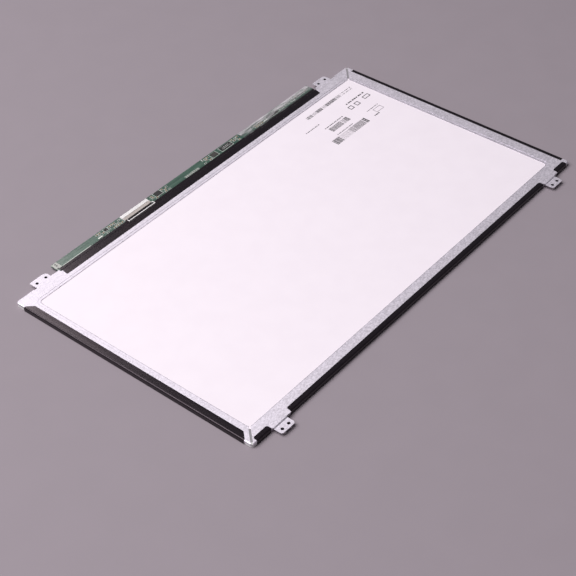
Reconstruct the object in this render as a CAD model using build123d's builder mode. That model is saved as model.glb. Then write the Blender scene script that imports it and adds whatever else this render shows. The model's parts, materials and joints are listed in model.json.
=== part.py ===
from build123d import *
import os

# Laptop screen panel: a slim edge-lit display module that lies face down, with its back up.
# Sizes are in millimetres. X runs along the long side, +Y towards the circuit board, +Z out of the back.
# The origin is the middle of the panel's outer box, on the screen's front face.

# Overall outline, from the ends of the near tabs to the outer edge of the board
PANEL_WIDTH = 359.3
PANEL_DEPTH = 223.8
NEAR_TAB_REACH = 7.75
BOARD_REACH = 9.45

# Back window, by its borders from the sides of the body, and the picture, which is a little larger
WINDOW_LEFT_BORDER = 10.35
WINDOW_RIGHT_BORDER = 13.55
WINDOW_NEAR_BORDER = 11.0
WINDOW_FAR_BORDER = 12.2
WINDOW_RADIUS = 2.8
PICTURE_SIDE_MARGIN = 4.4
PICTURE_END_MARGIN = 5.05

# Thickness of each layer, from the front up
POLARISER_THICK = 0.15
GLASS_THICK = 0.5
CELL_TAPE_THICK = 0.1
LEDGE_THICK = 0.35
DIFFUSER_THICK = 0.1
PRISM_THICK = 0.15
GUIDE_THICK = 0.8
REFLECTOR_THICK = 0.2
STEEL_THICK = 0.3
TAPE_THICK = 0.1

# Pressed steel back frame
BEND_RADIUS = 0.9
CORNER_RADIUS = 2.6
WALL_FOOT_GAP = 0.35
LIP_WIDTH = 2.2
LIP_DROP = 0.1
SEAM_GAP = 1.5
FAR_EDGE_CUT = 1.2
FAR_LIP_LENGTH = 16.0
NEAR_RELIEF = 6.6
FAR_RELIEF = 13.2

# Slots in the frame's walls and the hooks that snap into them
SIDE_SLOT_SHARES = (-0.3, 0.0, 0.3)
NEAR_SLOT_SHARES = (-0.32, -0.16, 0.0, 0.16, 0.32)
SLOT_LENGTH = 5.0
SLOT_HEIGHT = 0.9
SLOT_RISE = 0.7
HOOK_GAP = 0.1

# Screw tabs of the frame, two on each long side
FAR_TAB_INSET = 20.1
FAR_TAB_WIDTH = 14.6
FAR_TAB_REACH = 6.3
FAR_TAB_ROOT_REACH = 0.8
FAR_TAB_ROOT_GAP = 0.6
FAR_TAB_ROUND = 1.0
FAR_TAB_WIDE_ROUND = 3.0
FAR_HOLE_SPACING = 8.0
FAR_HOLE_SETBACK = 4.0
NEAR_TAB_INSET = 19.2
NEAR_TAB_WIDTH = 12.8
NEAR_TAB_DROP = 0.7
NEAR_TAB_ROUND = 2.0
NEAR_EAR_WIDTH = 17.8
NEAR_EAR_SHIFT = 2.0
NEAR_EAR_REACH = 0.75
NEAR_HOLE_SPACING = 6.0
NEAR_HOLE_SETBACK = 2.7
SCREW_HOLE_RADIUS = 1.15

# Plastic frame, glass cell and the sheets of the light unit
MOULD_GAP = 0.05
MOULD_RIM = 0.9
MOULD_CHAMFER = 0.6
CELL_GAP = 0.15
BOND_LEDGE = 3.3
CELL_FAR_INSET = 0.95
POLARISER_INSET = 1.95
OPENING_MARGIN = 0.5
SHEET_MARGIN = 2.3
SHEET_GAP = 0.2
EAR_WIDTH = 12.0
EAR_REACH = 1.2
EAR_SHARE = 0.28

# Row of lamps along the board side
LED_COUNT = 36
LED_ROW_INSET = 4.7
LED_SIZE = 3.8
LED_DEPTH = 0.8
LED_GAP = 0.1
LED_FACE_SHARE = 0.8
LED_FACE_HEIGHT_SHARE = 0.6
LED_STRIP_WIDTH = 3.2
LED_STRIP_THICK = 0.15
TAIL_WIDTH = 8.0
TAIL_GAP = 1.4
TAIL_LAP_SHARE = 0.33

# Driver films between the glass and the board
FILM_COUNT = 4
FILM_PITCH_SHARE = 0.244
FILM_WIDTH = 42.0
FILM_THICK = 0.08
FILM_OVERLAP = 2.6
FILM_LANDING_SHARE = 0.125
FILM_LAP_SHARE = 0.5
DRIVER_CHIP_LENGTH = 18.0
DRIVER_CHIP_WIDTH = 1.1
DRIVER_CHIP_HEIGHT = 0.4
DRIVER_CHIP_SHARE = 0.33

# Control board, by its gaps from the far tabs
BOARD_LEFT_GAP = 7.4
BOARD_RIGHT_GAP = 3.7
BOARD_WIDTH = 8.9
BOARD_THICK = 0.8
BOARD_DROP = 0.9
BOARD_RADIUS = 0.8

# Black tapes
COVER_TAPE_FRAME_LAP = 6.7
COVER_TAPE_BOARD_LAP = 1.9
COVER_TAPE_LEFT_INSET = 0.8
COVER_TAPE_LEFT_SLANT = 1.2
COVER_TAPE_RIGHT_SLANT = 2.2
COVER_TAPE_ROUND = 0.8
COVER_TAPE_SLOPE = 1.4
LEFT_TAPE_REACH = 5.65
LEFT_TAPE_FAR_SETBACK = 8.15
LEFT_TAPE_NEAR_SETBACK = 6.65
LEFT_TAPE_SLANT = 5.0
RIGHT_TAPE_REACH = 3.45
RIGHT_TAPE_FAR_SETBACK = 7.25
RIGHT_TAPE_NEAR_SETBACK = 5.45
NEAR_TAPE_REACH = 3.75
NEAR_TAPE_ROUND = 1.5
SMALL_TAPE_LENGTH = 13.0
TAPE_EAR_GAP = 0.4
TAPE_FOLD = 2.7

# Groups of parts on the board, as shares of its length from the left end
VIDEO_GROUP = 0.2885
POWER_GROUP = 0.3748
PAD_GROUP = 0.4962
TIMING_GROUP = 0.6393
LAMP_GROUP = 0.8315
END_GROUP = 0.9555

# Rows of parts, as shares of the board's bare strip from the cover tape outwards
INNER_ROW = 0.18
MIDDLE_ROW = 0.47
OUTER_ROW = 0.73
TIMING_CHIP_ROW = 0.49
LAMP_CHIP_ROW = 0.39
POWER_CHIP_ROW = 0.61
MEMORY_CHIP_ROW = 0.67
BAR_COIL_ROW = 0.44

# Places along the board, in steps of the part pitch from the middle of a group
MEMORY_CHIP_STEPS = -12
COIL_STEPS = -5.5
VIDEO_FUSE_STEPS = -15.5
LAMP_FUSE_STEPS = -4
BAR_PAD_STEPS = -0.5
CLEAR_FILM_STEPS = 7

# Forty-way connector
CONNECTOR_WIDTH = 27.2
CONNECTOR_DEPTH = 5.6
CONNECTOR_SETBACK = 0.9
HOUSING_HEIGHT = 0.75
HOUSING_STEP = 0.08
SEAT_GAP = 1.1
MOUTH_END_WALL = 1.9
MOUTH_DEPTH = 3.5
MOUTH_HEIGHT = 0.25
MOUTH_FLOOR = 0.35
CONTACT_COUNT = 40
CONTACT_PITCH = 0.5
CONTACT_WIDTH = 0.2
CONTACT_THICK = 0.1
CONTACT_FOOT = 0.55
SHELL_THICK = 0.15
SHELL_DEPTH = 2.9
SHELL_LIP_SHIFT = 1.7
SHELL_LIP_LAP = 1.9
SHELL_LIP_BAR = 0.7
CHEEK_LAP = 1.0

# Parts on the board
PART_PITCH = 2.4
CHIP_HEIGHT = 0.55
CHIP_CHAMFER = 0.08
TIMING_CHIP_LENGTH = 11.2
LAMP_CHIP_LENGTH = 12.0
POWER_CHIP_LENGTH = 5.6
WIDE_CHIP_WIDTH = 4.4
LAMP_CHIP_WIDTH = 3.2
MEMORY_CHIP_LENGTH = 2.6
MEMORY_CHIP_WIDTH = 2.2
COIL_LENGTH = 5.4
BAR_COIL_LENGTH = 7.0
BAR_COIL_WIDTH = 1.3
FUSE_LENGTH = 4.0
FUSE_WIDTH = 1.1
CAPACITOR_LENGTH = 1.6
CAPACITOR_WIDTH = 0.8
CAPACITOR_HEIGHT = 0.5
RESISTOR_LENGTH = 1.0
RESISTOR_WIDTH = 0.5
RESISTOR_HEIGHT = 0.3
TERMINAL_SHARE = 0.22
PAD_THICK = 0.05
PAD_COUNT = 8
PAD_PITCH = 1.8
PAD_LENGTH = 1.3
PAD_WIDTH = 1.2
END_PAD_LENGTH = 4.7
END_PAD_MARGIN = 0.4
BAR_PAD_LENGTH = 8.6
BAR_PAD_WIDTH = 1.4

# Clear film over the right stretch of the board
CLEAR_FILM_THICK = 0.06
CLEAR_FILM_RISE = 0.66
CLEAR_FILM_LAP = 1.0
CLEAR_FILM_RAMP = 0.5
CLEAR_FILM_SLOPE = 2.3
CLEAR_FILM_HEM = 0.5
CLEAR_FILM_BEND = 0.1

# Heights of the layers
front_glass_z = POLARISER_THICK
array_glass_z = front_glass_z + GLASS_THICK
cell_back_z = array_glass_z + GLASS_THICK
ledge_z = cell_back_z + CELL_TAPE_THICK
sheets_z = ledge_z + LEDGE_THICK
upper_prism_z = sheets_z + DIFFUSER_THICK
lower_prism_z = upper_prism_z + PRISM_THICK
lower_diffuser_z = lower_prism_z + PRISM_THICK
guide_z = lower_diffuser_z + DIFFUSER_THICK
reflector_z = guide_z + GUIDE_THICK
lip_under_z = reflector_z + REFLECTOR_THICK
plate_under_z = lip_under_z + LIP_DROP
plate_top_z = plate_under_z + STEEL_THICK
wall_foot_z = front_glass_z + WALL_FOOT_GAP
board_top_z = plate_top_z - BOARD_DROP
board_under_z = board_top_z - BOARD_THICK

# Outline of the body, the steel, the plastic frame and the glass
body_half_x = PANEL_WIDTH / 2
body_y = (-PANEL_DEPTH / 2 + NEAR_TAB_REACH, PANEL_DEPTH / 2 - BOARD_REACH)
steel_half_x = body_half_x - TAPE_THICK
steel_y = (body_y[0] + TAPE_THICK, body_y[1])
plate_edge_y = steel_y[1] - FAR_EDGE_CUT
mould_inset = STEEL_THICK + MOULD_GAP
mould_half_x = steel_half_x - mould_inset
mould_y = (steel_y[0] + mould_inset, steel_y[1] - mould_inset)
cell_half_x = mould_half_x - MOULD_RIM - CELL_GAP
array_y = (mould_y[0] + MOULD_RIM + CELL_GAP, steel_y[1] - CELL_FAR_INSET)
colour_y = (array_y[0], array_y[1] - BOND_LEDGE)

# Window, picture and the room for the sheets
window_x = (-body_half_x + WINDOW_LEFT_BORDER, body_half_x - WINDOW_RIGHT_BORDER)
window_y = (body_y[0] + WINDOW_NEAR_BORDER, body_y[1] - WINDOW_FAR_BORDER)
picture_x = (window_x[0] - PICTURE_SIDE_MARGIN, window_x[1] + PICTURE_SIDE_MARGIN)
picture_y = (window_y[0] - PICTURE_END_MARGIN, window_y[1] + PICTURE_END_MARGIN)
picture_mid_x = (picture_x[0] + picture_x[1]) / 2
opening_x = (picture_x[0] - OPENING_MARGIN, picture_x[1] + OPENING_MARGIN)
opening_y = (picture_y[0] - OPENING_MARGIN, picture_y[1] + OPENING_MARGIN)
sheet_x = (picture_x[0] - SHEET_MARGIN + SHEET_GAP, picture_x[1] + SHEET_MARGIN - SHEET_GAP)
sheet_y = (picture_y[0] - SHEET_MARGIN + SHEET_GAP, opening_y[1] + OPENING_MARGIN + SHEET_GAP)
led_y = (sheet_y[1] + LED_GAP, sheet_y[1] + LED_GAP + LED_DEPTH)
strip_y = (led_y[0], led_y[0] + LED_STRIP_WIDTH)

# Tabs, board and cover tape
far_tab_x = (picture_x[0] + FAR_TAB_INSET, picture_x[1] - FAR_TAB_INSET)
near_tab_x = (picture_x[0] + NEAR_TAB_INSET, picture_x[1] - NEAR_TAB_INSET)
board_left_x = far_tab_x[0] + FAR_TAB_WIDTH / 2 + BOARD_LEFT_GAP
board_right_x = far_tab_x[1] - FAR_TAB_WIDTH / 2 - BOARD_RIGHT_GAP
board_length = board_right_x - board_left_x
board_y = (PANEL_DEPTH / 2 - BOARD_WIDTH, PANEL_DEPTH / 2)
cover_y = (body_y[1] - COVER_TAPE_FRAME_LAP, board_y[0] + COVER_TAPE_BOARD_LAP)
cover_left_x = board_left_x + COVER_TAPE_LEFT_INSET


def low_high(middle, size):
    """Low and high value of a size about its middle."""
    return (middle - size / 2, middle + size / 2)


def block(x, y, z, mode=Mode.ADD):
    """A box between a low and a high value on each axis."""
    with Locations(((x[0] + x[1]) / 2, (y[0] + y[1]) / 2, (z[0] + z[1]) / 2)):
        Box(x[1] - x[0], y[1] - y[0], z[1] - z[0], mode=mode)


def plate(x, y, z, radius, mode=Mode.ADD):
    """A flat plate with rounded corners between a low and a high value on each axis."""
    with BuildSketch(Plane.XY.offset(z[0])) as outline:
        with Locations(((x[0] + x[1]) / 2, (y[0] + y[1]) / 2)):
            RectangleRounded(x[1] - x[0], y[1] - y[0], radius)
    extrude(outline.sketch, amount=z[1] - z[0], mode=mode)


def bent_sheet(plane, points, radii, thick, side):
    """Section of a bent sheet: a line with rounded corners, made thick to one side."""
    with BuildSketch(plane) as outline:
        with BuildLine():
            FilletPolyline(points, radius=radii)
            offset(amount=thick, side=side, kind=Kind.INTERSECTION)
        make_face()
    return outline.sketch


def light_sheet(z, gap=0, mode=Mode.ADD):
    """A sheet of the light unit with ears on its short sides, or with a gap the room it lies in."""
    width = sheet_x[1] - sheet_x[0]
    depth = sheet_y[1] - sheet_y[0]
    with BuildSketch(Plane.XY.offset(z[0])) as outline:
        with Locations(((sheet_x[0] + sheet_x[1]) / 2, (sheet_y[0] + sheet_y[1]) / 2)):
            Rectangle(width + 2 * gap, depth + 2 * gap)
            with GridLocations(1, 2 * EAR_SHARE * depth, 1, 2):
                Rectangle(width + 2 * (EAR_REACH + gap), EAR_WIDTH + 2 * gap)
    extrude(outline.sketch, amount=z[1] - z[0], mode=mode)


def on_board(group, steps, row):
    """A place on the board: steps of the part pitch from a group's middle, in a row."""
    strip_width = board_y[1] - cover_y[1]
    x = board_left_x + group * board_length + steps * PART_PITCH
    return (x, cover_y[1] + row * strip_width)


def chip(place, length, width):
    """A chip body on the board, with its top edge taken off."""
    with BuildSketch(Plane.XY.offset(board_top_z)) as outline:
        with Locations(place):
            Rectangle(length, width)
    extrude(outline.sketch, amount=CHIP_HEIGHT)
    chamfer(faces(Select.LAST).sort_by(Axis.Z)[-1].edges(), CHIP_CHAMFER)


# Steel frame, as one pressing before it is parted at its two seams
tab_out_y = -PANEL_DEPTH / 2
ear_root_y = steel_y[0] + BEND_RADIUS
near_bend_y = body_y[0] - NEAR_EAR_REACH
near_foot_y = near_bend_y - NEAR_TAB_DROP
near_tab_z = plate_top_z - NEAR_TAB_DROP
near_ears_x = [low_high(x + NEAR_EAR_SHIFT, NEAR_EAR_WIDTH) for x in near_tab_x]
slot_z = (wall_foot_z + SLOT_RISE, wall_foot_z + SLOT_RISE + SLOT_HEIGHT)
side_slots_y = [(body_y[0] + body_y[1]) / 2 + share * (body_y[1] - body_y[0]) for share in SIDE_SLOT_SHARES]
near_slots_x = [share * PANEL_WIDTH for share in NEAR_SLOT_SHARES]

with BuildPart() as pressing:
    with BuildSketch(Plane.XY.offset(wall_foot_z)):
        with Locations((0, (steel_y[0] + steel_y[1]) / 2)):
            RectangleRounded(2 * steel_half_x, steel_y[1] - steel_y[0], CORNER_RADIUS)
    extrude(amount=plate_top_z - wall_foot_z)
    fillet(pressing.faces().sort_by(Axis.Z)[-1].edges(), BEND_RADIUS)
    offset(amount=-STEEL_THICK, openings=pressing.faces().sort_by(Axis.Z)[0])
    # Lip round the window, pressed down on to the reflector sheet
    lip_x = (window_x[0] - LIP_WIDTH, window_x[1] + LIP_WIDTH)
    lip_y = (window_y[0] - LIP_WIDTH, window_y[1] + LIP_WIDTH)
    lip_top_z = plate_top_z - LIP_DROP
    plate(lip_x, lip_y, (lip_under_z, plate_under_z), WINDOW_RADIUS + LIP_WIDTH)
    plate(lip_x, lip_y, (lip_top_z, plate_top_z), WINDOW_RADIUS + LIP_WIDTH, mode=Mode.SUBTRACT)
    plate(window_x, window_y, (lip_under_z, plate_top_z), WINDOW_RADIUS, mode=Mode.SUBTRACT)
    # The walls stop short of the corners, where only the rolled edge is left
    wall_z = (wall_foot_z, plate_top_z - BEND_RADIUS)
    near_relief_y = (steel_y[0], steel_y[0] + NEAR_RELIEF)
    far_relief_y = (steel_y[1] - FAR_RELIEF, steel_y[1])
    relief_x = steel_half_x - NEAR_RELIEF
    for x in ((-steel_half_x, -relief_x), (relief_x, steel_half_x)):
        block(x, near_relief_y, wall_z, mode=Mode.SUBTRACT)
        block(x, far_relief_y, wall_z, mode=Mode.SUBTRACT)
    # Beyond the left tape the edge is flat, so that the plastic frame shows under it
    flat_edge_x = (-steel_half_x, -steel_half_x + BEND_RADIUS)
    flat_edge_y = (body_y[1] - LEFT_TAPE_FAR_SETBACK, steel_y[1])
    block(flat_edge_x, flat_edge_y, (wall_z[1], plate_under_z), mode=Mode.SUBTRACT)
    # The board side has no wall between its two short rolled lips
    between_lips_x = (-steel_half_x + FAR_LIP_LENGTH, steel_half_x - FAR_LIP_LENGTH)
    block(between_lips_x, (plate_edge_y, steel_y[1]), (wall_foot_z, plate_top_z), mode=Mode.SUBTRACT)
    # No wall at the ears of the near tabs
    for ear_x in near_ears_x:
        block(ear_x, (steel_y[0], ear_root_y), (wall_foot_z, plate_top_z), mode=Mode.SUBTRACT)
    # Slots in the walls
    for y in side_slots_y:
        for x in ((-steel_half_x, -mould_half_x), (mould_half_x, steel_half_x)):
            block(x, low_high(y, SLOT_LENGTH), slot_z, mode=Mode.SUBTRACT)
    for x in near_slots_x:
        block(low_high(x, SLOT_LENGTH), (steel_y[0], mould_y[0]), slot_z, mode=Mode.SUBTRACT)
    # Flat tabs on the board side, each on a wider root that reaches to the cover tape
    far_tab_y = (plate_edge_y, body_y[1] + FAR_TAB_REACH)
    root_y = (plate_edge_y, body_y[1] + FAR_TAB_ROOT_REACH)
    root_ends_x = (cover_left_x - FAR_TAB_ROOT_GAP, board_right_x + FAR_TAB_ROOT_GAP)
    for x, root_end_x, side in ((far_tab_x[0], root_ends_x[0], -1), (far_tab_x[1], root_ends_x[1], 1)):
        tab_end_x = x + side * FAR_TAB_WIDTH / 2
        with BuildSketch(Plane.XY.offset(plate_under_z)) as far_tab:
            with Locations((x, (far_tab_y[0] + far_tab_y[1]) / 2)):
                Rectangle(FAR_TAB_WIDTH, far_tab_y[1] - far_tab_y[0])
            fillet(far_tab.vertices().group_by(Axis.Y)[-1].sort_by(Axis.X)[0], FAR_TAB_ROUND)
            fillet(far_tab.vertices().group_by(Axis.Y)[-1].sort_by(Axis.X)[-1], FAR_TAB_WIDE_ROUND)
            with Locations(((tab_end_x + root_end_x) / 2, (root_y[0] + root_y[1]) / 2)):
                Rectangle(abs(tab_end_x - root_end_x), root_y[1] - root_y[0])
        extrude(amount=STEEL_THICK)
        with Locations((x, far_tab_y[1] - FAR_HOLE_SETBACK, plate_top_z)):
            with GridLocations(FAR_HOLE_SPACING, 1, 2, 1):
                Hole(SCREW_HOLE_RADIUS)
    # Stepped tabs on the near side: flat ear, slope and lower foot
    tab_path = [
        (ear_root_y, plate_top_z), (near_bend_y, plate_top_z),
        (near_foot_y, near_tab_z), (tab_out_y, near_tab_z),
    ]
    for x, ear_x in zip(near_tab_x, near_ears_x):
        tab_plane = Plane.YZ.offset(x - NEAR_TAB_WIDTH / 2)
        tab_section = bent_sheet(tab_plane, tab_path, STEEL_THICK, STEEL_THICK, Side.LEFT)
        extrude(tab_section, amount=NEAR_TAB_WIDTH)
        block(ear_x, (near_bend_y + STEEL_THICK, ear_root_y), (plate_under_z, plate_top_z))
        with Locations((x, tab_out_y + NEAR_HOLE_SETBACK, near_tab_z)):
            with GridLocations(NEAR_HOLE_SPACING, 1, 2, 1):
                Hole(SCREW_HOLE_RADIUS)
    tab_ends = pressing.edges().filter_by(Axis.Z).group_by(Axis.Y)[0]
    fillet(tab_ends, NEAR_TAB_ROUND)

# The seams run from opposite corners of the window to the corners of the frame
seam_near = (window_x[0], window_y[0])
seam_far = (window_x[1], window_y[1])
seam_near_out = (2 * -steel_half_x - seam_near[0], 2 * steel_y[0] - seam_near[1])
seam_far_out = (2 * steel_half_x - seam_far[0], 2 * steel_y[1] - seam_far[1])
seam_shift = SEAM_GAP / 2 / 2 ** 0.5
left_side_corners = [
    (seam_far_out[0], PANEL_DEPTH), (-PANEL_WIDTH, PANEL_DEPTH), (-PANEL_WIDTH, seam_near_out[1]),
]
right_side_corners = [
    (PANEL_WIDTH, seam_far_out[1]), (PANEL_WIDTH, -PANEL_DEPTH), (seam_near_out[0], -PANEL_DEPTH),
]

with BuildPart() as frame_left_half:
    add(pressing.part)
    with BuildSketch():
        with Locations((-seam_shift, seam_shift)):
            Polygon(seam_near_out, seam_near, seam_far, seam_far_out, *left_side_corners, align=None)
    extrude(amount=2 * plate_top_z, mode=Mode.INTERSECT)

with BuildPart() as frame_right_half:
    add(pressing.part)
    with BuildSketch():
        with Locations((seam_shift, -seam_shift)):
            Polygon(seam_near_out, seam_near, seam_far, seam_far_out, *right_side_corners, align=None)
    extrude(amount=2 * plate_top_z, mode=Mode.INTERSECT)


def seam_strip(start, corner):
    """Strip in a seam, from the rounded corner of the window to the rim of the plastic frame."""
    run = Vector(*corner) - Vector(*start)
    first = WINDOW_RADIUS * (2 ** 0.5 - 1)
    length = run.length - first - CORNER_RADIUS
    seam_plane = Plane((*start, plate_under_z), x_dir=run, z_dir=(0, 0, 1))
    with BuildSketch(seam_plane) as outline:
        with Locations((first + length / 2, 0)):
            Rectangle(length, SEAM_GAP - 2 * MOULD_GAP)
    extrude(outline.sketch, amount=TAPE_THICK)


# A grey strip on the plastic frame closes each seam from below
with BuildPart() as seam_strips:
    seam_strip(seam_near, (-steel_half_x, steel_y[0]))
    seam_strip(seam_far, (steel_half_x, steel_y[1]))

# Driver films and the lamp strip's tail stand side by side along the board
film_pitch = FILM_PITCH_SHARE * board_length
board_mid_x = (board_left_x + board_right_x) / 2
first_film_x = board_mid_x - film_pitch * (FILM_COUNT - 1) / 2
tail_x = first_film_x - FILM_WIDTH / 2 - TAIL_GAP - TAIL_WIDTH / 2

# Plastic frame: the glass lies in its front, the sheets in its back, with a ledge between them
hook_z = (slot_z[0] + HOOK_GAP, slot_z[1] - HOOK_GAP)
hook_length = SLOT_LENGTH - 2 * HOOK_GAP
hook_half_x = steel_half_x - MOULD_GAP
hook_near_y = steel_y[0] + MOULD_GAP


def hook(plane, face, reach):
    """A snap hook on the plastic frame's wall: a wedge with its flat side to the front."""
    with BuildSketch(plane) as outline:
        Polygon((face, hook_z[1]), (face, hook_z[0]), (reach, hook_z[0]), align=None)
    extrude(outline.sketch, amount=hook_length)


with BuildPart() as mould_frame:
    mould_corner = CORNER_RADIUS - mould_inset
    plate((-mould_half_x, mould_half_x), mould_y, (front_glass_z, plate_under_z), mould_corner)
    chamfer(mould_frame.faces().sort_by(Axis.Z)[-1].edges(), MOULD_CHAMFER)
    cell_x = (-cell_half_x - CELL_GAP, cell_half_x + CELL_GAP)
    cell_y = (array_y[0] - CELL_GAP, array_y[1] + CELL_GAP)
    block(cell_x, cell_y, (front_glass_z, ledge_z), mode=Mode.SUBTRACT)
    block(opening_x, opening_y, (ledge_z, sheets_z), mode=Mode.SUBTRACT)
    light_sheet((sheets_z, plate_under_z), SHEET_GAP, mode=Mode.SUBTRACT)
    # Trough for the lamp strip
    trough_x = (sheet_x[0] - SHEET_GAP, sheet_x[1] + SHEET_GAP)
    trough_y = (sheet_y[1], strip_y[1] + SHEET_GAP)
    block(trough_x, trough_y, (sheets_z, plate_under_z), mode=Mode.SUBTRACT)
    # Open towards the board, so that the driver films pass
    film_run_x = (board_left_x, board_right_x)
    block(film_run_x, (plate_edge_y, mould_y[1]), (front_glass_z, plate_under_z), mode=Mode.SUBTRACT)
    # Gate for the tail of the lamp strip
    gate_x = low_high(tail_x, TAIL_WIDTH + 2 * SHEET_GAP)
    block(gate_x, (strip_y[1], mould_y[1]), (sheets_z, plate_under_z), mode=Mode.SUBTRACT)
    # Hooks on the outer walls
    for y in side_slots_y:
        hook_plane = Plane.XZ.offset(-y - hook_length / 2)
        hook(hook_plane, -mould_half_x, -hook_half_x)
        hook(hook_plane, mould_half_x, hook_half_x)
    for x in near_slots_x:
        hook(Plane.YZ.offset(x - hook_length / 2), mould_y[0], hook_near_y)

# Liquid crystal cell, front to back
with BuildPart() as front_polariser:
    polariser_x = (-cell_half_x + POLARISER_INSET, cell_half_x - POLARISER_INSET)
    polariser_y = (colour_y[0] + POLARISER_INSET, colour_y[1] - POLARISER_INSET)
    block(polariser_x, polariser_y, (0, front_glass_z))

with BuildPart() as colour_filter_glass:
    block((-cell_half_x, cell_half_x), colour_y, (front_glass_z, array_glass_z))

with BuildPart() as array_glass:
    block((-cell_half_x, cell_half_x), array_y, (array_glass_z, cell_back_z))

with BuildPart() as rear_polariser:
    rear_x = (opening_x[0] + SHEET_GAP, opening_x[1] - SHEET_GAP)
    rear_y = (opening_y[0] + SHEET_GAP, opening_y[1] - SHEET_GAP)
    block(rear_x, rear_y, (cell_back_z, cell_back_z + POLARISER_THICK))

with BuildPart() as cell_tape:
    tape_y = (array_y[0], opening_y[1] + SHEET_MARGIN)
    block((-cell_half_x, cell_half_x), tape_y, (cell_back_z, ledge_z))
    block(opening_x, opening_y, (cell_back_z, ledge_z), mode=Mode.SUBTRACT)

# Sheets of the light unit, front to back
with BuildPart() as upper_diffuser:
    light_sheet((sheets_z, upper_prism_z))

with BuildPart() as upper_prism_sheet:
    light_sheet((upper_prism_z, lower_prism_z))

with BuildPart() as lower_prism_sheet:
    light_sheet((lower_prism_z, lower_diffuser_z))

with BuildPart() as lower_diffuser:
    light_sheet((lower_diffuser_z, guide_z))

with BuildPart() as light_guide:
    light_sheet((guide_z, reflector_z))

with BuildPart() as reflector_sheet:
    light_sheet((reflector_z, lip_under_z))

# Lamp strip: side-lit lamps hang under a flexible strip and face the light guide's edge
led_pitch = (picture_x[1] - picture_x[0] - 2 * LED_ROW_INSET) / LED_COUNT
led_mid_z = (guide_z + reflector_z) / 2

with BuildPart() as led_strip:
    strip_x = low_high(picture_mid_x, led_pitch * LED_COUNT)
    block(strip_x, strip_y, (reflector_z, reflector_z + LED_STRIP_THICK))

with BuildPart() as led_packages:
    with Locations((picture_mid_x, (led_y[0] + led_y[1]) / 2, led_mid_z)):
        with GridLocations(led_pitch, 1, LED_COUNT, 1):
            Box(LED_SIZE, LED_DEPTH, GUIDE_THICK)
    face_width = LED_SIZE * LED_FACE_SHARE
    face_height = GUIDE_THICK * LED_FACE_HEIGHT_SHARE
    with Locations((picture_mid_x, led_y[0], led_mid_z)):
        with GridLocations(led_pitch, 1, LED_COUNT, 1):
            Box(face_width, LED_DEPTH / 2, face_height, mode=Mode.SUBTRACT)

with BuildPart() as led_flex_tail:
    tail_z = board_under_z - LED_STRIP_THICK
    tail_path = [
        (strip_y[1], reflector_z), (plate_edge_y, reflector_z),
        (board_y[0] - 2 * LED_STRIP_THICK, tail_z), (board_y[0] + BOARD_WIDTH * TAIL_LAP_SHARE, tail_z),
    ]
    tail_plane = Plane.YZ.offset(tail_x - TAIL_WIDTH / 2)
    tail_section = bent_sheet(tail_plane, tail_path, LED_STRIP_THICK, LED_STRIP_THICK, Side.LEFT)
    extrude(tail_section, amount=TAIL_WIDTH)

# Driver films run from the front of the array glass up to the underside of the board
with BuildPart() as driver_films:
    film_path = [
        (array_y[1] - FILM_OVERLAP, array_glass_z), (array_y[1] + CELL_GAP, array_glass_z),
        (board_y[0] + BOARD_WIDTH * FILM_LANDING_SHARE, board_under_z),
        (board_y[0] + BOARD_WIDTH * FILM_LAP_SHARE, board_under_z),
    ]
    for i in range(FILM_COUNT):
        film_plane = Plane.YZ.offset(first_film_x + i * film_pitch - FILM_WIDTH / 2)
        film_section = bent_sheet(film_plane, film_path, 2 * FILM_THICK, FILM_THICK, Side.RIGHT)
        extrude(film_section, amount=FILM_WIDTH)

with BuildPart() as driver_chips:
    chip_y = board_y[0] + BOARD_WIDTH * DRIVER_CHIP_SHARE
    chip_z = board_under_z - FILM_THICK - DRIVER_CHIP_HEIGHT / 2
    with Locations((board_mid_x, chip_y, chip_z)):
        with GridLocations(film_pitch, 1, FILM_COUNT, 1):
            Box(DRIVER_CHIP_LENGTH, DRIVER_CHIP_WIDTH, DRIVER_CHIP_HEIGHT)

# Control board
with BuildPart() as control_board:
    plate((board_left_x, board_right_x), board_y, (board_under_z, board_top_z), BOARD_RADIUS)

# Cover tape from the back frame down on to the board
with BuildPart() as board_cover_tape:
    slope_y = plate_edge_y + TAPE_THICK
    cover_path = [
        (cover_y[0], plate_top_z), (slope_y, plate_top_z),
        (slope_y + COVER_TAPE_SLOPE, board_top_z), (cover_y[1], board_top_z),
    ]
    cover_plane = Plane.YZ.offset(cover_left_x)
    cover_section = bent_sheet(cover_plane, cover_path, 2 * TAPE_THICK, TAPE_THICK, Side.LEFT)
    extrude(cover_section, amount=board_right_x - cover_left_x)
    with BuildSketch(Plane.XY.offset(board_top_z)) as cover_outline:
        Polygon(
            (cover_left_x, cover_y[0]), (board_right_x - COVER_TAPE_RIGHT_SLANT, cover_y[0]),
            (board_right_x, cover_y[1]), (cover_left_x + COVER_TAPE_LEFT_SLANT, cover_y[1]),
            align=None,
        )
        fillet(cover_outline.vertices().group_by(Axis.Y)[0], COVER_TAPE_ROUND)
    extrude(amount=2 * BOARD_DROP, mode=Mode.INTERSECT)

# Edge tapes: over the back, down the wall and round to the front
edge_radii = [BEND_RADIUS, TAPE_THICK]


def edge_path(outer, inward, reach):
    """Path of an edge tape's inner face, across the edge that it wraps."""
    wall = outer + inward * TAPE_THICK
    return [
        (outer + inward * reach, plate_top_z), (wall, plate_top_z),
        (wall, front_glass_z), (outer + inward * TAPE_FOLD, front_glass_z),
    ]


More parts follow.
